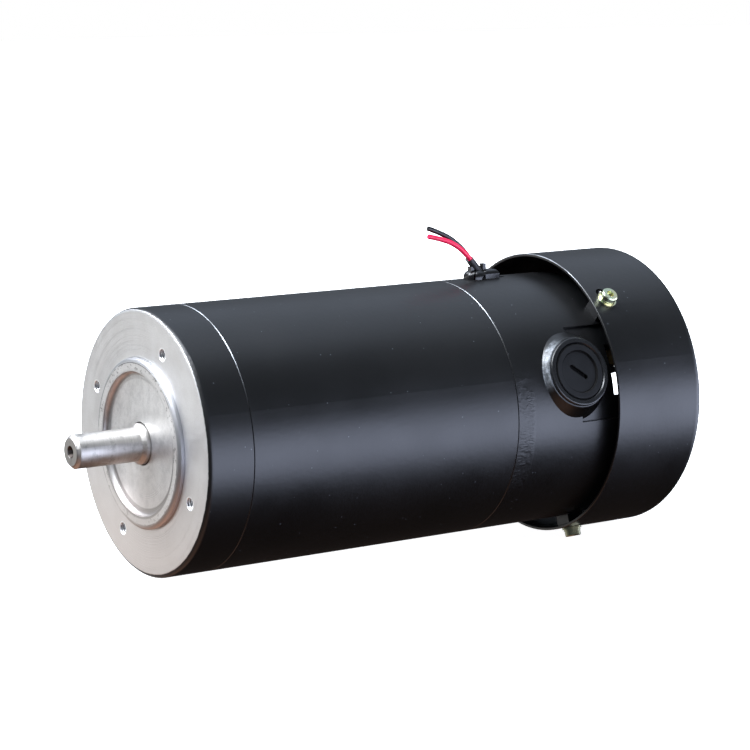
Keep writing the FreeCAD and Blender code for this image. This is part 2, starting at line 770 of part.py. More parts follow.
def fan_cover():
    """Deep-drawn sheet cowl: open in front, with vents and a shaft opening behind."""
    inner = COWL_R - COWL_SHEET
    bend = 1 - math.sqrt(0.5)
    outer_bend = COWL_CORNER_R
    inner_bend = COWL_CORNER_R - COWL_SHEET
    floor = COWL_END - COWL_SHEET
    body = turned([
        (SHAFT_OPENING_R, COWL_END),
        (COWL_R - outer_bend, COWL_END),
        ((COWL_R - bend * outer_bend, COWL_END - bend * outer_bend), (COWL_R, COWL_END - outer_bend)),
        (COWL_R, COWL_START + 0.2),
        (COWL_R - 0.2, COWL_START),
        (inner + 0.2, COWL_START),
        (inner, COWL_START + 0.2),
        (inner, floor - inner_bend),
        ((inner - bend * inner_bend, floor - bend * inner_bend), (inner - inner_bend, floor)),
        (SHAFT_OPENING_R, floor),
    ])
    vent = sector(VENT_INNER_R, VENT_OUTER_R, floor - 1, COWL_END + 1, -VENT_HALF_ANGLE, VENT_HALF_ANGLE)
    cuts = [about_axis(vent, a) for a in even(VENT_COUNT, 15.0)]
    slot = fuse([rod(2.5, COWL_R - 4, COWL_R + 2, x=-0.4),
                 rod(2.5, COWL_R - 4, COWL_R + 2, x=-0.4, z=-4.2),
                 block(5.0, COWL_R - 4, COWL_R + 2, 4.2, x=-0.4, z=-2.1)])
    cuts += [outward(slot, SCREW_Y, a) for a in LUG_ANGLES]
    return raised(body.cut(Part.makeCompound(cuts)))


def cover_screws():
    """Socket-head screws that hold the cowl to the lugs."""
    head_foot = SPRING_WASHER[3]
    screw = turned([
        (0.0, FRAME_R - 2.5), (SCREW_R - 0.5, FRAME_R - 2.5), (SCREW_R, FRAME_R - 2.0),
        (SCREW_R, head_foot), (SCREW_HEAD_R, head_foot), (SCREW_HEAD_R, SCREW_HEAD_TOP - 0.35),
        (SCREW_HEAD_R - 0.35, SCREW_HEAD_TOP), (0.0, SCREW_HEAD_TOP)])
    hexagon = Part.makePolygon([polar(1.73, a, SCREW_HEAD_TOP - 1.6) for a in even(6) + [360.0]])
    screw = screw.cut(Part.Face(hexagon).extrude(V(0, 3, 0)))
    return raised(Part.makeCompound([outward(screw, SCREW_Y, a) for a in LUG_ANGLES]))


def cover_washers(size, gap):
    inner, outer, start, end = size
    washer = split_ring(inner, outer, start, end, gap) if gap else tube(inner, outer, start, end)
    return raised(Part.makeCompound([outward(washer, SCREW_Y, a) for a in LUG_ANGLES]))


# ---------------------------------------------------------------- leads

def strain_relief():
    """Both halves as one body: dome, rear block, two ears and a neck through the wall."""
    dome = turned([
        (0.0, FRAME_R - 2.0), (GLAND_DOME_R, FRAME_R - 2.0), (GLAND_DOME_R, FRAME_R + 0.9),
        ((GLAND_DOME_R - 0.7, FRAME_R + 2.7), (GLAND_DOME_R - 2.4, FRAME_R + 3.7)),
        (0.0, FRAME_R + 3.9)])
    heel = block(7.7, FRAME_R - 2.0, FRAME_R + 3.8, 7.6, x=6.85)
    heel = heel.makeFillet(2.2, [e for e in heel.Edges if e.BoundBox.YMin > FRAME_R + 3])
    bell = outward_inverse(rod(FRAME_R + 0.03, 100.0, 220.0))
    neck = rod(GLAND_NECK_R, FRAME_R - 8.0, FRAME_R + 1.0)
    ears = [block(1.6, FRAME_R + 3.0, FRAME_R + top, 2.6, x=GLAND_THROAT + side)
            for side, top in ((-3.2, 5.4), (3.2, 6.4))]
    return fuse([fuse([dome, heel]).cut(bell), neck] + ears)


def outward_inverse(shape):
    """Bring a shape of the standing motor into the strain relief's own drawing frame."""
    copy = about_axis(shape, -GLAND_ANGLE)
    copy.translate(V(0, -GLAND_Y, 0))
    copy.rotate(ORIGIN, V(1, 1, 0), 180)
    return copy


def lead_sleeve():
    """Shrink sleeve that holds both leads where they leave the strain relief."""
    start = (RED_ROUTE[0] + BLACK_ROUTE[0]) * 0.5
    way = (RED_ROUTE[1] - RED_ROUTE[0]).normalize()
    between = BLACK_ROUTE[0] + BLACK_ROUTE[1] - RED_ROUTE[0] - RED_ROUTE[1]
    across = (between - way * between.dot(way)).normalize()
    normal = way.cross(across)
    side = (SLEEVE_WIDTH - SLEEVE_DEPTH) / 2
    r = SLEEVE_DEPTH / 2
    rounds = [Part.makeCylinder(r, SLEEVE_LENGTH, start + across * (side * a), way) for a in (-1, 1)]
    corners = [start + across * (side * a) + normal * (r * b)
               for a, b in ((-1, -1), (1, -1), (1, 1), (-1, 1), (-1, -1))]
    middle = Part.Face(Part.makePolygon(corners)).extrude(way * SLEEVE_LENGTH)
    return fuse(rounds + [middle])


def inner_route(first, stations):
    """Points of a lead inside the bell, from its outer end to a brush holder."""
    return [first] + [about_axis_point(polar(r, a, y), LYING_ROLL) for r, a, y in stations]


def about_axis_point(point, angle):
    turn = math.radians(angle)
    x = point.x * math.cos(turn) - point.z * math.sin(turn)
    z = point.x * math.sin(turn) + point.z * math.cos(turn)
    return V(x, point.y, z)


def build_leads():
    red = routed(RED_ROUTE, LEAD_DIAMETER, "lead_red")
    black = routed(BLACK_ROUTE, LEAD_DIAMETER, "lead_black")
    red_inner = routed(inner_route(RED_ROUTE[0], [
        (46.0, 70.6, 167.3), (43.0, 55.0, 160.0), (42.0, 30.0, 156.5), (41.0, 12.0, 158.5),
        (41.0, 5.0, 167.2)]), LEAD_DIAMETER, "inner_lead_red")
    black_inner = routed(inner_route(BLACK_ROUTE[0], [
        (46.0, 73.5, 168.4), (39.0, 93.0, 161.0), (39.0, 120.0, 156.5), (41.0, 148.0, 156.0),
        (41.0, 168.0, 158.5), (41.0, 175.0, 167.2)]), LEAD_DIAMETER, "inner_lead_black")
    return [standing(lead) for lead in (red, black, red_inner, black_inner)]


def split_tool(width, offset):
    """Slab along the plane that parts the two halves of the strain relief."""
    slab = block(width, FRAME_R - 12, FRAME_R + 8, 40.0, x=offset)
    slab.rotate(ORIGIN, AXIS, GLAND_SPLIT_TURN)
    slab.translate(V(GLAND_THROAT, 0, 0))
    return outward(slab, GLAND_Y, GLAND_ANGLE)


def save_leads():
    red, black, red_inner, black_inner = build_leads()
    sleeve = standing(lead_sleeve())
    relief = outward(strain_relief(), GLAND_Y, GLAND_ANGLE)
    all_leads = Part.makeCompound([red, black, red_inner, black_inner])
    relief = relief.cut(sleeve).cut(all_leads)
    outer_leads = Part.makeCompound([red, black])
    red_inner = red_inner.cut(outer_leads).cut(sleeve)
    black_inner = black_inner.cut(outer_leads).cut(sleeve)
    sleeve = sleeve.cut(outer_leads)
    saw = split_tool(0.6, 0.0)
    front_side = split_tool(40.0, -20.0)
    relief = relief.cut(saw)
    save("strain_relief_front", relief.common(front_side))
    save("strain_relief_rear", relief.cut(front_side))
    save("lead_sleeve", sleeve)
    save("lead_red", red)
    save("lead_black", black)
    save("inner_lead_red", red_inner)
    save("inner_lead_black", black_inner)


# ---------------------------------------------------------------- all sub-parts

def save_brush_gear():
    for side, angle in BRUSH_ANGLES.items():
        save("brush_holder_" + side, outward(brush_holder(), BRUSH_Y, angle))
        save("brush_guide_" + side, outward(brush_guide(), BRUSH_Y, angle))
        save("carbon_brush_" + side, outward(carbon_brush(), BRUSH_Y, angle))
        save("brush_spring_" + side, outward(brush_spring(), BRUSH_Y, angle))
        save("brush_shunt_" + side, outward(brush_shunt(), BRUSH_Y, angle))
        save("contact_disc_" + side, outward(contact_disc(), BRUSH_Y, angle))
        save("brush_cap_" + side, outward(brush_cap(), BRUSH_Y, angle))
        save("brush_terminal_" + side, about_axis(brush_terminal(), angle))
    save("terminal_rivets", terminal_rivets())


def save_bearing(prefix, bearing):
    save(prefix + "_outer_ring", bearing_outer_ring(bearing))
    save(prefix + "_inner_ring", bearing_inner_ring(bearing))
    save(prefix + "_balls", bearing_balls(bearing))
    save(prefix + "_cage", bearing_cage(bearing))
    save(prefix + "_shields", bearing_shields(bearing))


def save_all():
    os.makedirs("parts", exist_ok=True)
    save("front_end_bell", front_end_bell())
    save("stator_tube", stator_tube())
    save("rear_end_bell", rear_end_bell())
    save("tie_bolts", tie_bolts())
    save("tie_bolt_washers", tie_bolt_washers())
    save("magnet_right", magnet())
    save("magnet_left", about_axis(magnet(), 180.0))
    save("magnet_clips", magnet_clips())
    save_bearing("front_bearing", FRONT_BEARING)
    save_bearing("rear_bearing", REAR_BEARING)
    save("bearing_wave_washer", bearing_wave_washer())
    save("motor_shaft", motor_shaft())
    save("armature_core", armature_core())
    save("armature_windings", armature_windings())
    save("slot_wedges", slot_wedges())
    save("commutator_segments", commutator_segments())
    save("commutator_hub", commutator_hub())
    save("coil_leads", coil_leads())
    save("fan", fan())
    save("fan_circlip", fan_circlip())
    save_brush_gear()
    save("fan_cover", fan_cover())
    save("cover_screws", cover_screws())
    save("cover_spring_washers", cover_washers(SPRING_WASHER, 0.8))
    save("cover_plain_washers", cover_washers(PLAIN_WASHER, 0.0))
    save_leads()


save_all()
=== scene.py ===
"""Looks of the brushed motor: materials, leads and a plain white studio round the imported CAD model.

All lengths are in metres. The motor's axis is y, its face is at y = 0 and z is up.
"""

import json
import math
from collections import namedtuple

import bpy
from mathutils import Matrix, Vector


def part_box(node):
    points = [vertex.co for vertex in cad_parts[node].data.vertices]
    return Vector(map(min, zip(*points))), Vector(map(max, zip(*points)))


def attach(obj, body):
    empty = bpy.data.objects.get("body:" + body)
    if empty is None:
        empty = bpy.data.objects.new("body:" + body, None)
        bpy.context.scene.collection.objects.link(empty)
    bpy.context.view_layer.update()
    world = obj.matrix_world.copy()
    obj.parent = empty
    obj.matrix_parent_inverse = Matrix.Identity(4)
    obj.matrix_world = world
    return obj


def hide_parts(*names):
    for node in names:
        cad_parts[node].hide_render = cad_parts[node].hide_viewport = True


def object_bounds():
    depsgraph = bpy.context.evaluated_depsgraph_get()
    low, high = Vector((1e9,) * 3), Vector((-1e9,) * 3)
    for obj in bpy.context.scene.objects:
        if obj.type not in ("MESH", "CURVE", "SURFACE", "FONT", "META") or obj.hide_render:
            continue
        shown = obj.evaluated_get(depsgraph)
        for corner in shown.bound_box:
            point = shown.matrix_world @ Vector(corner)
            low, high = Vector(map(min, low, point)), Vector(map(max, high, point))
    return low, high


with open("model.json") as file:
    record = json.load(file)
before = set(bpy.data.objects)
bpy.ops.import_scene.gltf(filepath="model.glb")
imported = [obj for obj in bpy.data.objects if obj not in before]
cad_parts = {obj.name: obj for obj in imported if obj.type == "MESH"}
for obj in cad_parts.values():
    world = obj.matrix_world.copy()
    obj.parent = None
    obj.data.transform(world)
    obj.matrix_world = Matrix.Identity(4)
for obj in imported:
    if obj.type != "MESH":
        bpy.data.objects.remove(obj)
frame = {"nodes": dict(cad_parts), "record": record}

MM = 0.001
cad_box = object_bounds()

# Camera
CAMERA_AZIMUTH = 56.25
CAMERA_ELEVATION = 9.67
CAMERA_DISTANCE = 1.0534
CAMERA_TARGET = Vector((0.0, 0.11317, 0.01736))
LENS = 118.1

# Places on the motor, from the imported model
tube_low, tube_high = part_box("stator_tube")
cap_low, cap_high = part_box("brush_cap_right")
FRONT_SEAM = tube_low[1]
REAR_SEAM = tube_high[1]
FRAME_RADIUS = tube_high[0]
COWL_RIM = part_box("fan_cover")[0][1]
SHAFT_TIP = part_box("motor_shaft")[0][1]
BRUSH_Y = (cap_low[1] + cap_high[1]) / 2
PILOT_RADIUS = frame["record"]["mounts"][2]["dims"]["r_mm"] * MM

# The machined face: its paint line, the flat land on the pilot ring, and the four tapped holes
FACE_RIM = FRAME_RADIUS - 0.0018
LAND_OUTER = PILOT_RADIUS - 0.0019
LAND_INNER = LAND_OUTER - 0.0030
RECESS_CURVE = 0.0032
BOLT_CIRCLE_RADIUS = 0.0425
HOLE_SQUARE = BOLT_CIRCLE_RADIUS / math.sqrt(2)
HOLE_RADIUS = 0.0025
HOLE_TURN = math.radians(20.2)
HALF_THREAD_PITCH = 0.0005

# The brush caps and bosses: heights are from the motor's axis, radii from each one's own axis
CAP_FACE = 0.0580
CAP_FRONT = 0.050
COIN_SLOT_REACH = 0.0055
CAP_STEP = (0.0087, 0.0093)
CAP_EDGE = 0.0114
BOSS_FLANK = (0.0139, 0.0166)
BOSS_FLANK_FOOT = 0.0515
# The side of each boss flank that faces the front lamps, which gets the scuffed grey and painted highlight
LIT_FLANK_SIDE = (0.10, -0.90, 0.42)

# The strip of wrinkled paint behind the rear seam
WRINKLE_START = REAR_SEAM + 0.0012
WRINKLE_END = REAR_SEAM + 0.0075

# The shaft's centre hole
CENTRE_HOLE_RADIUS = 0.0024
CENTRE_HOLE_DEPTH = 0.006

# Leads: the control points of each route, from inside the strain relief to the cut end
LEAD_DIAMETER = 0.0022
RED_ROUTE = (
    (-0.0004, 0.1687, 0.0580),
    (-0.0004, 0.1625, 0.0651),
    (-0.0004, 0.1557, 0.0706),
    (-0.0004, 0.1480, 0.0736),
    (-0.0004, 0.1411, 0.0751),
)
BLACK_ROUTE = (
    (-0.0026, 0.1694, 0.0572),
    (-0.0027, 0.1641, 0.0650),
    (-0.0027, 0.1572, 0.0716),
    (-0.0027, 0.1496, 0.0758),
    (-0.0027, 0.1425, 0.0783),
)

# The colour sockets of a Mix node, which share their names with its other sockets
MIX_FIRST = 6
MIX_SECOND = 7
MIX_RESULT = 2


def axis_of(node):
    """Direction from the motor's axis out to the middle of a node, across the motor."""
    low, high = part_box(node)
    return Vector((low[0] + high[0], 0, low[2] + high[2])).normalized()


BOSS_AXES = [axis_of(f"brush_cap_{side}") for side in ("right", "left")]


class Tree:
    """A node tree, with short calls that add nodes to it and link them."""

    def __init__(self, owner):
        owner.use_nodes = True
        self.nodes = owner.node_tree.nodes
        self.links = owner.node_tree.links

    def add(self, kind, inputs=None, **settings):
        node = self.nodes.new(kind)
        for name, value in settings.items():
            setattr(node, name, value)
        for name, value in (inputs or {}).items():
            self.set(node.inputs[name], value)
        return node

    def set(self, socket, value):
        """Links an output to the socket, or sets the socket's own value."""
        if isinstance(value, bpy.types.NodeSocket):
            self.links.new(value, socket)
        elif socket.type == "RGBA" and len(value) == 3:
            socket.default_value = (*value, 1)
        else:
            socket.default_value = value

    def maths(self, operation, first, second=0.0):
        node = self.add("ShaderNodeMath", operation=operation)
        self.set(node.inputs[0], first)
        self.set(node.inputs[1], second)
        return node.outputs[0]

    def times(self, first, *others):
        """The product of numbers."""
        product = first
        for other in others:
            product = self.maths("MULTIPLY", product, other)
        return product

    def vector(self, operation, first, second=(0, 0, 0)):
        node = self.add("ShaderNodeVectorMath", operation=operation)
        self.set(node.inputs[0], first)
        self.set(node.inputs[1], second)
        return node.outputs["Value" if operation in ("LENGTH", "DOT_PRODUCT") else "Vector"]

    def split(self, vector):
        return self.add("ShaderNodeSeparateXYZ", {"Vector": vector}).outputs

    def combine(self, **parts):
        """A vector from any of x, y and z; the others are 0."""
        inputs = {name.upper(): value for name, value in parts.items()}
        return self.add("ShaderNodeCombineXYZ", inputs).outputs[0]

    def rise(self, value, low, high, result=(0.0, 1.0)):
        """Smooth step: result[0] where value is at or before low, result[1] at or past high."""
        inputs = {"Value": value, "From Min": low, "From Max": high, "To Min": result[0], "To Max": result[1]}
        return self.add("ShaderNodeMapRange", inputs, interpolation_type="SMOOTHSTEP").outputs["Result"]

    def fall(self, value, low, high):
        """Smooth step from 1 at or before low down to 0 at or past high."""
        return self.rise(value, low, high, (1.0, 0.0))

    def window(self, value, low, high, soft):
        """1 between low and high, falling to 0 over soft outside them."""
        return self.times(self.rise(value, low - soft, low), self.fall(value, high, high + soft))

    def colours(self, factor, first, second, blend="MIX"):
        node = self.add("ShaderNodeMix", data_type="RGBA", blend_type=blend)
        self.set(node.inputs["Factor"], factor)
        self.set(node.inputs[MIX_FIRST], first)
        self.set(node.inputs[MIX_SECOND], second)
        return node.outputs[MIX_RESULT]

    def noise(self, vector, scale, detail=2.0, roughness=0.5, distortion=0.0):
        inputs = {
            "Vector": vector,
            "Scale": scale,
            "Detail": detail,
            "Roughness": roughness,
            "Distortion": distortion,
        }
        return self.add("ShaderNodeTexNoise", inputs).outputs["Fac"]


class Surface(Tree):
    """One procedural material. place is the point on the object, and x, y and z are its parts."""

    def __init__(self, name, colour, roughness, metallic=0.0, sockets=None):
        self.material = bpy.data.materials.new(name)
        super().__init__(self.material)
        self.shader = self.nodes["Principled BSDF"]
        self.feed("Base Color", colour)
        self.feed("Roughness", roughness)
        self.feed("Metallic", metallic)
        for socket, value in (sockets or {}).items():
            self.feed(socket, value)
        self.place = self.add("ShaderNodeTexCoord").outputs["Object"]
        self.x, self.y, self.z = self.split(self.place)
        self.normal = None

    def feed(self, socket, value):
        """Sets one of the shader's sockets, or links an output to it."""
        self.set(self.shader.inputs[socket], value)

    def fed(self, socket):
        """The output that is linked to one of the shader's sockets."""
        return self.shader.inputs[socket].links[0].from_socket

    def bump(self, height, depth):
        """Raises the surface by depth metres where height is 1, on top of earlier bumps."""
        node = self.add("ShaderNodeBump", {"Height": height, "Strength": 1.0, "Distance": depth})
        if self.normal is not None:
            self.links.new(self.normal, node.inputs["Normal"])
        self.normal = node.outputs["Normal"]
        self.feed("Normal", self.normal)

    def from_axis(self):
        """Distance from the motor's axis."""
        return self.vector("LENGTH", self.vector("MULTIPLY", self.place, (1, 0, 1)))

    def about(self, axis):
        """Distance out along a brush axis, and the offset from that axis."""
        out = self.vector("SUBTRACT", self.place, (0, BRUSH_Y, 0))
        along = self.vector("DOT_PRODUCT", out, axis)
        foot = self.add("ShaderNodeVectorMath", {"Vector": axis, "Scale": along}, operation="SCALE")
        return along, self.vector("SUBTRACT", out, foot.outputs[0])

    def uneven(self, scale, low, high):
        """A number from low to high that wanders over the surface."""
        return self.rise(self.noise(self.place, scale, 3), 0.3, 0.7, (low, high))

    def specks(self, per_metre, radius, share):
        """1 on small dots, one in each cell of a grid, kept only in that share of the cells."""
        cell = self.add("ShaderNodeTexVoronoi", {"Vector": self.place, "Scale": per_metre})
        dot = self.fall(cell.outputs["Distance"], radius * per_metre * 0.5, radius * per_metre)
        chosen = self.rise(self.split(cell.outputs["Color"])[0], 1 - share, 1 - share + 0.02)
        return self.times(dot, chosen)


# ---------------------------------------------------------------- painted and cast pieces

BLACK = (0.0030, 0.0031, 0.0034)
FADED_BLACK = (0.0040, 0.0041, 0.0045)
DUST = (0.10, 0.11, 0.12)
# Grey bare metal on the tops of the seams: scraped paint and partly a painted highlight
WORN_HIGHLIGHT = (0.42, 0.44, 0.47)
# Grey on the boss flanks: scuffed paint and a painted highlight
SCUFFED_HIGHLIGHT = (0.24, 0.26, 0.28)
# Near black for painted shade in the seams and in the brush caps' slot and grooves
GROOVE_SHADE = (0.0004, 0.0004, 0.0004)
PAINT_ROUGHNESS = 0.36
FACE_ROUGHNESS = 0.44

# A painted edge: its y, its line's width, and the height, as a share of the radius, where the line's bare
# metal, partly a painted highlight, begins
Edge = namedtuple("Edge", "y width wear")
TUBE_FRONT_EDGE = Edge(FRONT_SEAM, 0.00028, 0.35)
BELL_FRONT_EDGE = Edge(FRONT_SEAM, 0.00022, 0.35)
REAR_EDGE = Edge(REAR_SEAM, 0.00022, 0.60)
COWL_EDGE = Edge(COWL_RIM + 0.00015, 0.00012, 0.78)


def seam_lines(s, colour, edges):
    """Thin lines along painted edges: bare metal showing on top of the motor, partly a painted highlight, and
    painted shade from its middle down.
    """
    height = s.split(s.vector("NORMALIZE", s.combine(x=s.x, z=s.z)))[2]
    # painted shade: from the motor's middle down the lines go near black
    low = s.fall(height, 0.20, 0.45)
    patchy = s.rise(s.noise(s.place, 60, 3), 0.34, 0.56, (0.15, 1.0))
    metal = 0.0
    for edge in edges:
        across = s.maths("ABSOLUTE", s.maths("SUBTRACT", s.y, edge.y))
        line = s.fall(across, edge.width * 0.6, edge.width)
        # bare metal on top of the motor, kept where the lines catch the light: partly a painted highlight
        worn_highlight = s.times(line, s.times(s.rise(height, edge.wear, 1.0), patchy))
        colour = s.colours(s.times(line, low), colour, GROOVE_SHADE)
        colour = s.colours(worn_highlight, colour, WORN_HIGHLIGHT)
        metal = s.maths("MAXIMUM", metal, worn_highlight)
    return colour, metal


def paint(name, edges):
    """Satin black paint: orange peel, a little dust, and lines along its edges."""
    s = Surface(name, BLACK, PAINT_ROUGHNESS)
    colour = s.colours(s.uneven(14, 0.0, 1.0), BLACK, FADED_BLACK)
    colour = s.colours(s.specks(per_metre=230, radius=0.00032, share=0.55), colour, DUST)
    colour, metal = seam_lines(s, colour, edges)
    s.feed("Base Color", colour)
    s.feed("Roughness", s.uneven(30, PAINT_ROUGHNESS - 0.03, PAINT_ROUGHNESS + 0.04))
    s.feed("Metallic", metal)
    s.bump(s.noise(s.place, 420, 2), 0.000032)
    s.bump(s.noise(s.place, 90, 2), 0.000030)
    return s


def wrinkle(s):
    """Fine slanted creases in the paint, on the strip behind the rear seam, part of the way round."""
    strip = s.window(s.y, WRINKLE_START, WRINKLE_END, 0.002)
    sides = s.window(s.z, -0.5 * FRAME_RADIUS, 0.30 * FRAME_RADIUS, 0.012)
    slant = {"Vector": s.place, "Rotation": (0.45, 0, 0), "Scale": (1.0, 0.30, 1.0)}
    creases = s.noise(s.add("ShaderNodeMapping", slant).outputs[0], 1000, 2, 0.6, 0.8)
    patches = s.rise(s.noise(s.place, 170, 2), 0.35, 0.6, (0.2, 1.0))
    s.bump(s.times(creases, s.times(strip, sides, patches)), 0.00017)


def scuffs_and_highlight(s, colour):
    """The front flank of each brush boss, grey in streaks on its side facing the front lamps: scuffed paint
    and a painted highlight.
    """
    streaks = s.rise(s.noise(s.place, 520, 4, 0.7), 0.38, 0.62, (0.25, 1.0))
    for axis in BOSS_AXES:
        along, offset = s.about(axis)
        ring = s.window(s.vector("LENGTH", offset), *BOSS_FLANK, 0.0005)
        flank = s.times(ring, s.rise(along, BOSS_FLANK_FOOT, BOSS_FLANK_FOOT + 0.002))
        toward = s.vector("DOT_PRODUCT", s.vector("NORMALIZE", offset), LIT_FLANK_SIDE)
        # grey only on the side facing the lamps: scuffed paint and a painted highlight
        rubbed_highlight = s.times(flank, s.rise(toward, 0.62, 0.96), streaks)
        colour = s.colours(rubbed_highlight, colour, SCUFFED_HIGHLIGHT)
    return colour


def stator_paint():
    return paint("stator_paint", [TUBE_FRONT_EDGE, REAR_EDGE]).material


def cowl_paint():
    return paint("cowl_paint", [COWL_EDGE]).material


def rear_bell_paint():
    s = paint("rear_bell_paint", [REAR_EDGE])
    wrinkle(s)
    s.feed("Base Color", scuffs_and_highlight(s, s.fed("Base Color")))
    return s.material


def cap_plastic():
    """Brush cap: satin black, with painted shade in the coin slot, round its recess and round its edge."""
    plain = (0.006, 0.0065, 0.0075)
    s = Surface("cap_plastic", plain, 0.42, sockets={"Specular IOR Level": 0.32})
    colour = s.colours(s.uneven(90, 0.0, 1.0), plain, (0.008, 0.0085, 0.0095))
    rough = s.uneven(70, 0.38, 0.46)
    for axis in BOSS_AXES:
        along, offset = s.about(axis)
        radius = s.vector("LENGTH", offset)
        below_face = s.fall(along, CAP_FACE - 0.0006, CAP_FACE - 0.0002)
        slot = s.times(below_face, s.fall(radius, COIN_SLOT_REACH, COIN_SLOT_REACH + 0.0005))
        step = s.window(radius, *CAP_STEP, 0.0002)
        edge = s.rise(radius, CAP_EDGE, CAP_EDGE + 0.0003)
        rings = s.maths("MAXIMUM", step, edge)
        front = s.rise(along, CAP_FRONT, CAP_FRONT + 0.002)
        # painted shade: slot, step and edge gap made near black and matt
        painted_shade = s.times(s.maths("MAXIMUM", slot, rings), front)
        colour = s.colours(painted_shade, colour, GROOVE_SHADE)
        rough = s.maths("MAXIMUM", rough, s.times(painted_shade, 0.95))
    s.feed("Base Color", colour)
    s.feed("Roughness", rough)
    s.bump(s.noise(s.place, 700, 3), 0.00002)
    return s.material


# ---------------------------------------------------------------- the front bell's machined face

def hole_distance(s):
    """Distance from the axis of the nearest of the four tapped holes."""
    first = s.vector("DOT_PRODUCT", s.place, (math.cos(HOLE_TURN), 0, math.sin(HOLE_TURN)))
    second = s.vector("DOT_PRODUCT", s.place, (-math.sin(HOLE_TURN), 0, math.cos(HOLE_TURN)))
    offsets = [s.maths("SUBTRACT", s.maths("ABSOLUTE", side), HOLE_SQUARE) for side in (first, second)]
    return s.vector("LENGTH", s.combine(x=offsets[0], y=offsets[1]))


def clouded_metal(s, radius, fine):
    """Turned aluminium, cloudier inside the pilot's land and dulled by its fine grain."""
    bare = s.colours(s.uneven(120, 0.0, 1.0), (0.70, 0.695, 0.69), (0.77, 0.77, 0.77))
    inside = s.fall(radius, LAND_INNER - 0.0005, LAND_INNER)
    clouds = s.rise(s.noise(s.place, 190, 4, 0.7), 0.40, 0.70)
    bare = s.colours(s.times(inside, clouds), bare, (0.58, 0.58, 0.58))
    return s.colours(s.rise(fine, 0.35, 0.75, (0.0, 0.5)), bare, (0.55, 0.54, 0.53))


def pilot_dirt_and_shade(s, radius, bare):
    """Pits on the pilot's land, a broken line of dirt at its outer edge, and painted shade on its bevel."""
    land = s.window(radius, LAND_INNER, LAND_OUTER, 0.0003)
    pits = s.rise(s.noise(s.place, 620, 3, 0.65), 0.56, 0.66, (0.0, 0.7))
    bare = s.colours(s.times(land, pits), bare, (0.20, 0.195, 0.19))
    edge = s.window(radius, LAND_OUTER - 0.00005, LAND_OUTER + 0.00005, 0.00028)
    broken = s.rise(s.noise(s.place, 170, 3), 0.36, 0.54, (0.0, 0.85))
    bare = s.colours(s.times(edge, broken), bare, (0.12, 0.12, 0.125))
    # painted shade: the bevel darkened to tone down its reflection
    bevel = s.window(radius, LAND_OUTER + 0.0006, PILOT_RADIUS + 0.0001, 0.0004)
    return s.colours(s.times(bevel, 0.85), bare, (0.40, 0.40, 0.41))


def recess_shade(s, radius, bare):
    """Painted shade on the curved side of the recess, most of it in the lower half."""
    curve = s.window(radius, LAND_INNER - RECESS_CURVE, LAND_INNER, 0.0008)
    # painted shade, strongest in the lower half
    lower_half = s.rise(s.z, -0.012, 0.008, (0.92, 0.15))
    return s.colours(s.times(curve, lower_half), bare, (0.17, 0.17, 0.17))


def turned_face(s, radius, fine):
    """Colour of the whole face, with a painted warm reflection towards its foot and bright rims round the
    holes, from rubbing and partly a painted highlight.
    """
    bare = clouded_metal(s, radius, fine)
    bare = pilot_dirt_and_shade(s, radius, bare)
    bare = recess_shade(s, radius, bare)
    # painted reflection: a warm tint towards the foot stands in for the warm table's reflection
    foot = s.rise(s.z, -0.9 * FRAME_RADIUS, 0.1 * FRAME_RADIUS, (0.75, 0.0))
    bare = s.colours(foot, bare, (0.76, 0.69, 0.65))
    # bright rims round the tapped holes: rubbing marks and a painted highlight for their chamfers
    rubbed_highlight = s.window(hole_distance(s), HOLE_RADIUS, HOLE_RADIUS + 0.0004, 0.0001)
    return s.colours(rubbed_highlight, bare, (0.92, 0.92, 0.92))


def face_texture(s, face, radius, fine):
    """Rings left by turning, a fine grain, and thread turns in the tapped holes."""
    rings = s.noise(s.combine(x=radius), 2600, 2)
    s.bump(s.times(rings, face), 0.00018)
    s.bump(s.times(fine, face), 0.000025)
    turns = s.times(s.maths("PINGPONG", s.y, HALF_THREAD_PITCH), 1 / HALF_THREAD_PITCH)
    tapped = s.fall(hole_distance(s), HOLE_RADIUS, HOLE_RADIUS + 0.0001)
    s.bump(s.times(turns, tapped), 0.0004)


def front_bell_finish():
    """Machined aluminium inside a ragged line, black paint on the rounded rim and the side; on top the bare
    face reaches further out onto the rim, as scraped paint and a painted highlight.
    """
    s = paint("front_bell_finish", [BELL_FRONT_EDGE])
    radius = s.from_axis()
    ragged = s.times(s.noise(s.place, 420, 3), 0.0006)
    # painted highlight: on top the bare face reaches further onto the rounded rim
    worn_highlight = s.rise(s.z, 0.15 * FRAME_RADIUS, 0.75 * FRAME_RADIUS, (0.0002, 0.0011))
    past = s.maths("SUBTRACT", s.maths("ADD", radius, ragged), worn_highlight)
    face = s.fall(past, FACE_RIM + 0.0002, FACE_RIM + 0.0005)
    fine = s.noise(s.place, 2200, 3, 0.7)
    s.feed("Base Color", s.colours(face, s.fed("Base Color"), turned_face(s, radius, fine)))
    s.feed("Metallic", s.maths("MAXIMUM", face, s.fed("Metallic")))
    s.feed("Roughness", s.rise(face, 0.0, 1.0, (PAINT_ROUGHNESS, FACE_ROUGHNESS)))
    face_texture(s, face, radius, fine)
    return s.material


# ---------------------------------------------------------------- metals

def metal(name, colour, roughness, grain=900, depth=0.000010, stain=None):
    """Bare metal with a fine grain, a wandering gloss and, with stain, a second colour in patches."""
    s = Surface(name, colour, roughness, metallic=1.0)
    darker = tuple(0.78 * part for part in colour)
    tone = s.colours(s.uneven(60, 0.0, 1.0), colour, darker)
    if stain:
        tone = s.colours(s.uneven(240, 0.0, 0.8), tone, stain)
    s.feed("Base Color", tone)
    s.feed("Roughness", s.uneven(110, roughness * 0.8, roughness * 1.25))
    s.bump(s.noise(s.place, grain, 3), depth)
    return s.material


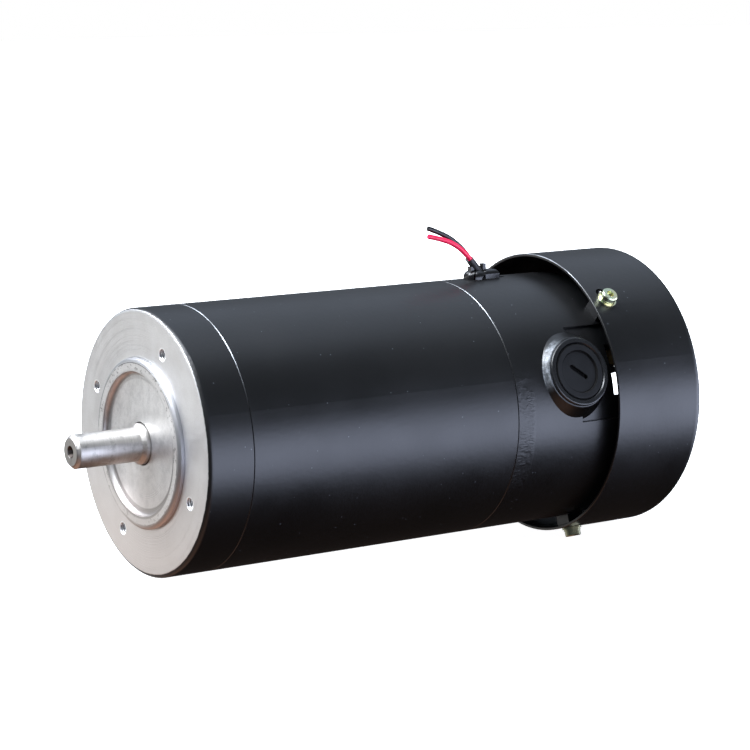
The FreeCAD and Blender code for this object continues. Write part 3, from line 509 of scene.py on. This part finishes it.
def ground_steel():
    """The shaft: steel ground round its axis, with painted shade on its end face and in its centre hole."""
    s = Surface("ground_steel", (0.52, 0.49, 0.455), 0.46, metallic=1.0)
    rings = s.noise(s.vector("MULTIPLY", s.place, (60, 1800, 60)), 1.0, 3, 0.7)
    tone = s.colours(rings, (0.42, 0.395, 0.365), (0.64, 0.615, 0.58))
    blotches = s.rise(s.noise(s.place, 330, 4, 0.7), 0.50, 0.66, (0.0, 0.6))
    tone = s.colours(blotches, tone, (0.32, 0.30, 0.275))
    # painted shade: the end face darkened to tone down its reflection
    end = s.rise(s.y, SHAFT_TIP + 0.0002, SHAFT_TIP + 0.0006, (0.62, 0.0))
    tone = s.colours(end, tone, (0.20, 0.195, 0.19))
    # painted shade: the centre hole made nearly black
    across = s.rise(s.from_axis(), CENTRE_HOLE_RADIUS, CENTRE_HOLE_RADIUS + 0.0004, (0.97, 0.0))
    bottom = SHAFT_TIP + CENTRE_HOLE_DEPTH
    hole = s.times(across, s.fall(s.y, bottom, bottom + 0.002))
    s.feed("Base Color", s.colours(hole, tone, (0.05, 0.04, 0.035)))
    s.feed("Roughness", s.uneven(150, 0.40, 0.52))
    s.bump(rings, 0.000015)
    return s.material


def yellow_zinc():
    """Yellow passivated zinc: pale green and straw in patches, with painted shade under the motor."""
    s = Surface("yellow_zinc", (0.80, 0.76, 0.50), 0.26, metallic=1.0)
    tone = s.colours(s.uneven(240, 0.0, 0.85), (0.82, 0.76, 0.47), (0.62, 0.74, 0.55))
    # painted shade: darker on the screws low down under the motor
    under_motor_shade = s.rise(s.z, -0.050, -0.040, (0.75, 0.0))
    s.feed("Base Color", s.colours(under_motor_shade, tone, (0.11, 0.09, 0.045)))
    s.feed("Roughness", s.uneven(110, 0.20, 0.33))
    s.bump(s.noise(s.place, 900, 3), 0.00001)
    return s.material


def laminations():
    """Stacked sheet steel, in thin layers along the shaft."""
    s = Surface("laminations", (0.22, 0.22, 0.23), 0.45, metallic=1.0)
    half_sheet = s.maths("PINGPONG", s.y, 0.00025)
    s.bump(s.rise(half_sheet, 0.0, 0.00006), 0.00004)
    s.feed("Base Color", s.colours(s.uneven(80, 0, 1), (0.24, 0.24, 0.25), (0.15, 0.13, 0.12)))
    return s.material


def enamelled_copper():
    """Winding wire under varnish, in fine strands."""
    varnish = {"Coat Weight": 0.6, "Coat Roughness": 0.15}
    s = Surface("enamelled_copper", (0.50, 0.17, 0.07), 0.3, metallic=1.0, sockets=varnish)
    strands = s.noise(s.vector("MULTIPLY", s.place, (900, 500, 900)), 1.0, 2, 0.5, 0.6)
    s.feed("Base Color", s.colours(strands, (0.36, 0.10, 0.04), (0.66, 0.26, 0.11)))
    s.bump(strands, 0.00025)
    return s.material


# ---------------------------------------------------------------- plastics, rubber and carbon

def moulded(name, colour, roughness, texture=500, depth=0.00002):
    """Moulded plastic: faint spark texture, a wandering gloss and a slightly uneven colour."""
    s = Surface(name, colour, roughness)
    lighter = tuple(part + 0.25 * (part + 0.01) for part in colour)
    s.feed("Base Color", s.colours(s.uneven(90, 0.0, 1.0), colour, lighter))
    s.feed("Roughness", s.uneven(70, roughness * 0.85, roughness * 1.15))
    s.bump(s.noise(s.place, texture, 3), depth)
    return s.material


def ferrite():
    """Magnet ceramic: dull, grey and gritty."""
    s = Surface("ferrite", (0.05, 0.05, 0.055), 0.7)
    s.feed("Base Color", s.colours(s.uneven(300, 0, 1), (0.045, 0.045, 0.05), (0.09, 0.09, 0.095)))
    s.bump(s.noise(s.place, 1400, 4, 0.8), 0.00008)
    return s.material


# ---------------------------------------------------------------- which node has which material

def both(*names):
    """The right and the left node of each name."""
    return [f"{name}_{side}" for name in names for side in ("right", "left")]


def of_bearings(*pieces):
    """Those pieces of the front and of the rear bearing."""
    return [f"{end}_bearing_{piece}" for end in ("front", "rear") for piece in pieces]


def finishes():
    """Each material, with the CAD nodes that have it."""
    brass_stain = (0.42, 0.27, 0.13)
    copper_stain = (0.40, 0.16, 0.09)
    return {
        stator_paint(): ["stator_tube"],
        rear_bell_paint(): ["rear_end_bell"],
        cowl_paint(): ["fan_cover"],
        front_bell_finish(): ["front_end_bell"],
        ground_steel(): ["motor_shaft"],
        laminations(): ["armature_core"],
        enamelled_copper(): ["armature_windings", "coil_leads"],
        ferrite(): both("magnet"),
        metal("bearing_steel", (0.62, 0.62, 0.63), 0.14): of_bearings("outer_ring", "inner_ring", "balls"),
        metal("pressed_steel", (0.42, 0.42, 0.42), 0.38): [
            "magnet_clips", "bearing_wave_washer", "fan_circlip",
            *both("brush_spring"), *of_bearings("cage", "shields"),
        ],
        metal("bright_zinc", (0.55, 0.56, 0.58), 0.33): ["tie_bolts", "tie_bolt_washers"],
        yellow_zinc(): ["cover_screws", "cover_spring_washers", "cover_plain_washers"],
        metal("brass", (0.70, 0.50, 0.22), 0.30, stain=brass_stain): [
            *both("brush_guide", "contact_disc", "brush_terminal"), "terminal_rivets",
        ],
        metal("copper", (0.72, 0.33, 0.19), 0.28, stain=copper_stain): ["commutator_segments"],
        metal("braided_copper", (0.66, 0.31, 0.18), 0.42, 2500, 0.0001): both("brush_shunt"),
        moulded("slot_paper", (0.20, 0.10, 0.045), 0.6, 300): ["slot_wedges"],
        moulded("phenolic", (0.055, 0.022, 0.012), 0.45, 600): ["commutator_hub"],
        moulded("fan_plastic", (0.014, 0.014, 0.015), 0.42): ["fan"],
        moulded("holder_plastic", (0.0085, 0.009, 0.010), 0.24, 300, 0.00001): both("brush_holder"),
        cap_plastic(): both("brush_cap"),
        moulded("relief_plastic", (0.0045, 0.0045, 0.005), 0.20, 250, 0.00001): [
            "strain_relief_front", "strain_relief_rear",
        ],
        moulded("sleeve_rubber", (0.020, 0.019, 0.019), 0.50, 900, 0.00003): ["lead_sleeve"],
        moulded("carbon", (0.018, 0.018, 0.019), 0.55, 2000, 0.00006): both("carbon_brush"),
        moulded("red_insulation", (0.86, 0.010, 0.070), 0.36, 600, 0.00001): ["inner_lead_red"],
        moulded("black_insulation", (0.010, 0.010, 0.011), 0.30, 600, 0.00001): ["inner_lead_black"],
    }


def dress():
    """Gives every CAD node its material."""
    for finish, names in finishes().items():
        for name in names:
            mesh = frame["nodes"][name].data
            mesh.materials.clear()
            mesh.materials.append(finish)


# ---------------------------------------------------------------- leads

def lead(name, node, route, colour):
    """One insulated lead as a smooth tube along its route."""
    curve = bpy.data.curves.new(name, "CURVE")
    curve.dimensions = "3D"
    curve.bevel_depth = LEAD_DIAMETER / 2
    curve.bevel_resolution = 8
    curve.resolution_u = 24
    curve.use_fill_caps = True
    spline = curve.splines.new("NURBS")
    spline.points.add(len(route) - 1)
    for point, place in zip(spline.points, route):
        point.co = (*place, 1)
    spline.order_u = 3
    spline.use_endpoint_u = True
    piece = bpy.data.objects.new(name, curve)
    bpy.context.scene.collection.objects.link(piece)
    curve.materials.append(bpy.data.materials[colour])
    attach(piece, "housing")
    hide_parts(node)
    return piece


def leads():
    red = lead("lead_red_wire", "lead_red", RED_ROUTE, "red_insulation")
    black = lead("lead_black_wire", "lead_black", BLACK_ROUTE, "black_insulation")


# ---------------------------------------------------------------- studio

DARK = (0, 0, 0)
WHITE = (1, 1, 1)


def panel(tree, direction, toward, side, heights, soft, colour):
    """A soft bright panel of the surroundings: where it faces, how wide it is, and its heights."""
    side_on = tree.vector("DOT_PRODUCT", direction, toward)
    height = tree.split(direction)[2]
    shape = tree.times(tree.rise(side_on, *side), tree.window(height, *heights, soft))
    return tree.colours(shape, DARK, colour)


def strip(tree, direction, across, width, toward, reach, colour):
    """A long soft light along a great circle: its pole, its width, its middle and its reach."""
    beside = tree.maths("ABSOLUTE", tree.vector("DOT_PRODUCT", direction, across))
    near = tree.rise(tree.vector("DOT_PRODUCT", direction, toward), *reach)
    return tree.colours(tree.times(tree.fall(beside, *width), near), DARK, colour)


def lamp(tree, direction, toward, wide, colour):
    """A soft round light; wide is the cosine at its edge and near its middle."""
    return tree.colours(tree.rise(tree.vector("DOT_PRODUCT", direction, toward), *wide), DARK, colour)


def room(tree, direction):
    """The dim room: dark below, blue grey above, and a warm table in front of the motor."""
    height = tree.split(direction)[2]
    walls = tree.colours(tree.rise(height, -0.5, 0.0), (0.03, 0.024, 0.022), (0.165, 0.185, 0.215))
    below = tree.fall(height, -0.85, -0.45)
    in_front = tree.fall(tree.split(direction)[1], -0.05, 0.35)
    table = tree.colours(tree.times(below, in_front), DARK, (0.62, 0.36, 0.26))
    return tree.colours(1.0, walls, table, "ADD")


def lights(tree, direction):
    """The soft lights of the studio, for the motor's gloss and shading."""
    return [
        # low beside the motor, for the broad highlight along the tube
        panel(tree, direction, toward=(0.83, 0.56, 0), side=(0.30, 0.75), heights=(-0.32, -0.01),
              soft=0.22, colour=(3.7, 4.1, 5.3)),
        # in front, for the even grey of the machined face
        panel(tree, direction, toward=(-0.83, -0.56, 0), side=(0.55, 0.92), heights=(-0.40, 0.30),
              soft=0.25, colour=(0.12, 0.12, 0.115)),
        # slanting across the front, for the fan of light on the face
        strip(tree, direction, across=(0.395, -0.421, -0.816), width=(0.04, 0.26),
              toward=(-0.82, -0.55, -0.17), reach=(0.45, 0.80), colour=(1.02, 1.00, 0.97)),
        # short and bright, high in front
        strip(tree, direction, across=(-0.274, -0.731, -0.626), width=(0.08, 0.26),
              toward=(-0.50, -0.45, 0.74), reach=(0.80, 0.92), colour=(4.2, 4.4, 4.8)),
        # overhead lamps: one wide and dim, two small and bright
        lamp(tree, direction, toward=(-0.35, 0.31, 0.88), wide=(0.70, 0.95), colour=(0.56, 0.65, 0.80)),
        lamp(tree, direction, toward=(-0.18, -0.60, 0.78), wide=(0.93, 0.985), colour=(17.0, 18.0, 19.5)),
        lamp(tree, direction, toward=(0.12, -0.12, 0.985), wide=(0.93, 0.985), colour=(9.0, 9.5, 10.3)),
    ]


def studio():
    """White background for the camera; for light and reflections a dim room with soft lights."""
    world = bpy.data.worlds.new("studio")
    bpy.context.scene.world = world
    tree = Tree(world)
    direction = tree.add("ShaderNodeTexCoord").outputs["Generated"]
    light = room(tree, direction)
    for extra in lights(tree, direction):
        light = tree.colours(1.0, light, extra, "ADD")
    seen = tree.add("ShaderNodeLightPath").outputs["Is Camera Ray"]
    tree.set(tree.nodes["Background"].inputs["Color"], tree.colours(seen, light, WHITE))


def floor():
    """A white floor under the motor, which takes its shadow and isn't mirrored in it."""
    low = cad_box[0][2]
    bpy.ops.mesh.primitive_plane_add(size=12, location=(0, 0.1, low))
    plane = bpy.context.object
    plane.name = "floor"
    plane.visible_glossy = False
    plane.visible_diffuse = False
    glow = {"Specular IOR Level": 0.0, "Emission Color": WHITE, "Emission Strength": 0.96}
    plane.data.materials.append(Surface("floor_white", (0.8, 0.8, 0.8), 0.9, sockets=glow).material)


def camera():
    """The camera, aimed at the motor from its front right."""
    azimuth, elevation = math.radians(CAMERA_AZIMUTH), math.radians(CAMERA_ELEVATION)
    back = Vector((
        math.sin(azimuth) * math.cos(elevation),
        -math.cos(azimuth) * math.cos(elevation),
        math.sin(elevation),
    ))
    data = bpy.data.cameras.new("camera")
    data.lens = LENS
    data.sensor_width = 36
    eye = bpy.data.objects.new("camera", data)
    eye.location = CAMERA_TARGET + CAMERA_DISTANCE * back
    eye.rotation_euler = (-back).to_track_quat("-Z", "Y").to_euler()
    bpy.context.scene.collection.objects.link(eye)
    bpy.context.scene.camera = eye


bpy.context.scene.view_settings.view_transform = "Standard"
dress()
leads()
studio()
floor()
camera()
